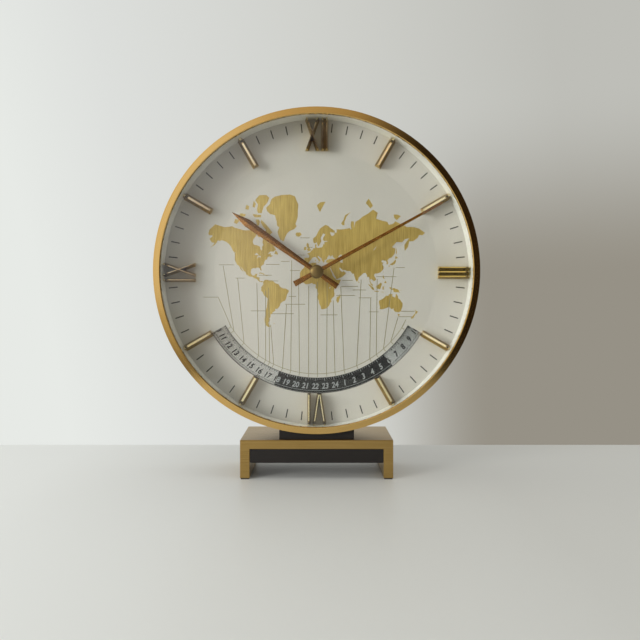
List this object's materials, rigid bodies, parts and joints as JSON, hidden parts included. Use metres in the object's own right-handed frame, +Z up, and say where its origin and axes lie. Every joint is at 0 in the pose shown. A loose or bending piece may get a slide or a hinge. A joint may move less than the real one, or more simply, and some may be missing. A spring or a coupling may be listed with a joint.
{
  "type": "world time clock",
  "caption": "Round brass-rimmed table clock on a bridge stand, with raised hour marks, two faceted hands and a printed ring of hours that turns behind a curved window under a world map.",
  "frame": {"origin": "on the table, under the middle of the clock's width and depth", "axes": "+X to the right as the viewer sees the dial, +Y from the dial to the back, +Z up"},
  "size_m": [0.25, 0.071, 0.2851],
  "materials": {
    "satin_brass_stand": "satin, brushed across the front",
    "dark_felt": "felt",
    "dark_block": "dark brown, nearly black, satin",
    "plated_steel": "zinc plated",
    "drum_lacquer": "dark lacquer",
    "polished_brass": "polished",
    "clear_glass": "clear",
    "white_wall": "off-white gloss",
    "dial_lacquer": "off-white silk with a gold map and printed scale",
    "turned_brass": "machined",
    "gilt_marks": "gilt, polished facets",
    "printed_ring": "printed hours, light for day and black for night",
    "arbor_steel": "ground",
    "gilt_hands": "gilt, faceted",
    "polished_cap": "polished",
    "movement_plastic": "moulded, fine grain",
    "cell_sleeve": "plain sleeve, no words",
    "knob_plastic": "moulded"
  },
  "bodies": {
    "case": {"stand_bridge": "satin_brass_stand", "foot_felts": "dark_felt", "under_block": "dark_block", "pedestal_block": "dark_block", "stand_screws": "plated_steel", "saddle_nut_plate": "plated_steel", "case_drum": "drum_lacquer", "bezel_ring": "polished_brass", "crystal": "clear_glass", "wall_ring": "white_wall", "dial_plate": "dial_lacquer", "dial_feet": "turned_brass", "hour_bars": "gilt_marks", "numeral_three": "gilt_marks", "numeral_twelve": "gilt_marks", "numeral_nine": "gilt_marks", "numeral_six": "gilt_marks", "carrier_plate": "plated_steel", "foot_nuts": "turned_brass", "movement_housing": "movement_plastic", "housing_screws": "plated_steel", "battery_cell": "cell_sleeve", "contact_plate": "plated_steel", "contact_spring": "plated_steel"},
    "minute_work": {"minute_arbor": "arbor_steel", "minute_hand": "gilt_hands", "hand_cap": "polished_cap", "setting_knob": "knob_plastic"},
    "hour_work": {"hour_wheel": "turned_brass", "hour_hand": "gilt_hands"},
    "minute_idler": {"minute_wheel": "turned_brass"},
    "transfer_idler": {"transfer_wheel": "turned_brass"},
    "world_ring": {"world_ring": "printed_ring", "world_ring_hub": "turned_brass"}
  },
  "joints": [
    {"name": "minute_turn", "type": "hinge", "parent": "case", "child": "minute_work", "pos_m": [0, -0.0025, 0.1601], "axis": [0, 1, 0], "continuous": true},
    {"name": "minute_wheel_turn", "type": "hinge", "parent": "case", "child": "minute_idler", "pos_m": [-0.015, -0.0025, 0.1601], "axis": [0, 1, 0], "continuous": true},
    {"name": "hour_turn", "type": "hinge", "parent": "case", "child": "hour_work", "pos_m": [0, -0.0025, 0.1601], "axis": [0, 1, 0], "continuous": true},
    {"name": "transfer_turn", "type": "hinge", "parent": "case", "child": "transfer_idler", "pos_m": [0.018, -0.0025, 0.1601], "axis": [0, 1, 0], "continuous": true},
    {"name": "world_ring_turn", "type": "hinge", "parent": "case", "child": "world_ring", "pos_m": [0, -0.0025, 0.1601], "axis": [0, 1, 0], "continuous": true}
  ],
  "couplings": [
    {"joint": "minute_wheel_turn", "follows": "minute_turn", "ratio": -0.33333},
    {"joint": "hour_turn", "follows": "minute_turn", "ratio": 0.083333},
    {"joint": "transfer_turn", "follows": "minute_turn", "ratio": -0.027778},
    {"joint": "world_ring_turn", "follows": "minute_turn", "ratio": 0.013889}
  ]
}
